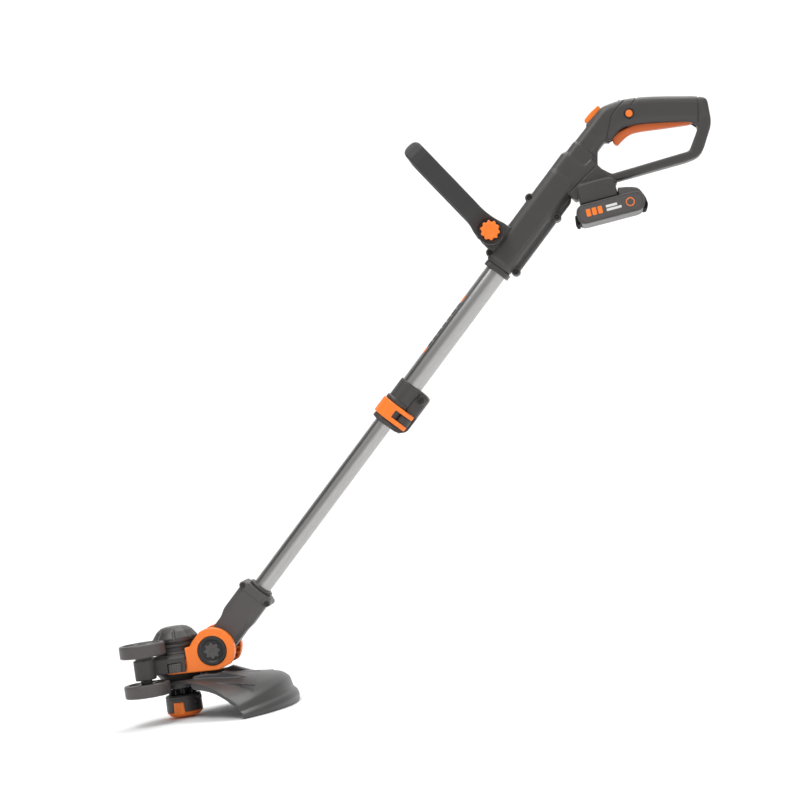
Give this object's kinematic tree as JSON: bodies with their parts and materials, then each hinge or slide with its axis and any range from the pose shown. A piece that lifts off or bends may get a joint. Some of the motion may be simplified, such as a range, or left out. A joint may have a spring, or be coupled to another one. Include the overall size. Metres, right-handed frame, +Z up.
{
  "type": "string trimmer",
  "caption": "Battery string trimmer: D-grip handle with pack, telescopic tube with lever clamp, second loop handle, tilting motor head with guard, spool and guide wheels.",
  "frame": {"origin": "middle of the rear grip, on the plane of symmetry", "axes": "+X towards the user's end, +Y away from the side with the knob and the tilt button, +Z up and square to the cutting plane at rest; the shaft rises at 45 degrees from the head in the X-Z plane"},
  "size_m": [0.9152, 0.2418, 0.7802],
  "materials": {
    "charcoal": "fine-grained moulded charcoal plastic",
    "orange": "satin orange moulded plastic",
    "soft_black": "soft-touch overmoulded grip",
    "black": "plain black plastic",
    "tube": "satin drawn tube",
    "steel": "zinc-plated and machined steel",
    "copper": "enamelled copper winding",
    "board": "green coated electronics and cell wrap",
    "wheel": "moulded wheel with a plain tread",
    "line": "wound nylon cutting line"
  },
  "bodies": {
    "handle": {"handle_half_near": "charcoal", "handle_half_far": "charcoal", "barrel_ring": "charcoal", "upper_tube": "tube", "clamp_body": "charcoal", "clamp_sleeve": "black", "clamp_screw": "steel", "lever_pin": "steel", "trigger_pin": "steel", "trigger_switch": "black", "control_board": "board", "terminal_block": "black", "motor_lead_coil": "black"},
    "trigger_body": {"trigger": "orange"},
    "lock_off": {"lock_off_button": "orange"},
    "feed": {"feed_button": "orange"},
    "lever": {"clamp_lever": "orange"},
    "second_handle": {"aux_handle": "soft_black", "aux_bolt": "steel"},
    "knob": {"aux_knob": "orange"},
    "battery": {"battery_case": "charcoal", "battery_lid": "charcoal", "battery_cells": "board"},
    "latch": {"battery_latch": "orange"},
    "slider": {"guide_bush": "black"},
    "lower_shaft": {"lower_tube": "tube", "motor_lead": "black", "neck_half_near": "charcoal", "neck_half_far": "charcoal", "neck_ring": "charcoal", "neck_screw_1": "steel", "neck_screw_2": "steel"},
    "head": {"yoke": "orange", "pivot_bolt": "steel", "motor_housing": "charcoal", "motor_dome": "charcoal", "motor_can": "steel", "upper_bearing": "steel", "lower_bearing": "steel", "guard": "charcoal", "line_cutter": "steel", "wheel_bracket": "charcoal", "bracket_clip": "black", "wheel_axle": "steel"},
    "pivot_button": {"tilt_button": "charcoal", "button_spring": "steel"},
    "rotor": {"motor_shaft": "steel", "armature": "copper", "spool_housing": "charcoal", "line_eyelet": "steel"},
    "reel": {"spool": "black", "wound_line": "line"},
    "cap": {"spool_cap": "orange"},
    "wheel_top": {"upper_wheel": "wheel"},
    "wheel_bottom": {"lower_wheel": "wheel"}
  },
  "joints": [
    {"name": "trigger_pull", "type": "hinge", "parent": "handle", "child": "trigger_body", "pos_m": [0.0594, 0, -0.0198], "axis": [0, 1, 0], "range_deg": [0, 5], "stiffness_Nm_per_rad": 1.5, "springref_deg": -17.19},
    {"name": "lock_off_push", "type": "slide", "parent": "handle", "child": "lock_off", "axis": [0, 1, 0], "range_m": [0, 0.003], "stiffness_N_per_m": 400, "springref_m": -0.003},
    {"name": "feed_button_press", "type": "slide", "parent": "handle", "child": "feed", "axis": [0.7071, 0, -0.7071], "range_m": [0, 0.0025], "stiffness_N_per_m": 400, "springref_m": -0.003},
    {"name": "battery_slide", "type": "slide", "parent": "handle", "child": "battery", "axis": [0.9945, 0, 0.1045], "range_m": [0, 0.11]},
    {"name": "battery_latch_press", "type": "slide", "parent": "battery", "child": "latch", "axis": [-0.9945, 0, -0.1045], "range_m": [0, 0.0025], "stiffness_N_per_m": 500, "springref_m": -0.003},
    {"name": "second_handle_tilt", "type": "hinge", "parent": "handle", "child": "second_handle", "pos_m": [-0.23829, 0, -0.13393], "axis": [0, 1, 0], "range_deg": [-45, 45]},
    {"name": "knob_turn", "type": "hinge", "parent": "second_handle", "child": "knob", "pos_m": [-0.23829, -0.04, -0.13393], "axis": [0, 1, 0], "range_deg": [0, 360]},
    {"name": "clamp_lever_open", "type": "hinge", "parent": "handle", "child": "lever", "pos_m": [-0.3935, -0.011, -0.37866], "axis": [0.7071, 0, 0.7071], "range_deg": [0, 95]},
    {"name": "telescope", "type": "slide", "parent": "handle", "child": "slider", "axis": [0.7071, 0, 0.7071], "range_m": [-0.13, 0.1]},
    {"name": "shaft_turn", "type": "hinge", "parent": "slider", "child": "lower_shaft", "pos_m": [-0.35214, 0, -0.30123], "axis": [0.7071, 0, 0.7071], "range_deg": [0, 180]},
    {"name": "head_tilt", "type": "hinge", "parent": "lower_shaft", "child": "head", "pos_m": [-0.70569, 0, -0.65478], "axis": [0, 1, 0], "range_deg": [-30, 42]},
    {"name": "tilt_button_press", "type": "slide", "parent": "head", "child": "pivot_button", "axis": [0, 1, 0], "range_m": [0, 0.003], "stiffness_N_per_m": 600, "springref_m": -0.004},
    {"name": "spool_spin", "type": "hinge", "parent": "head", "child": "rotor", "pos_m": [-0.76269, 0, -0.71478], "axis": [0, 0, 1], "continuous": true},
    {"name": "spool_feed", "type": "hinge", "parent": "rotor", "child": "reel", "pos_m": [-0.76269, 0, -0.72378], "axis": [0, 0, 1], "continuous": true},
    {"name": "spool_cap_off", "type": "slide", "parent": "rotor", "child": "cap", "axis": [0, 0, -1], "range_m": [0, 0.03]},
    {"name": "upper_wheel_spin", "type": "hinge", "parent": "head", "child": "wheel_top", "pos_m": [-0.79989, -0.052, -0.63978], "axis": [0, 0, 1], "continuous": true},
    {"name": "lower_wheel_spin", "type": "hinge", "parent": "head", "child": "wheel_bottom", "pos_m": [-0.79989, -0.052, -0.69478], "axis": [0, 0, 1], "continuous": true}
  ]
}
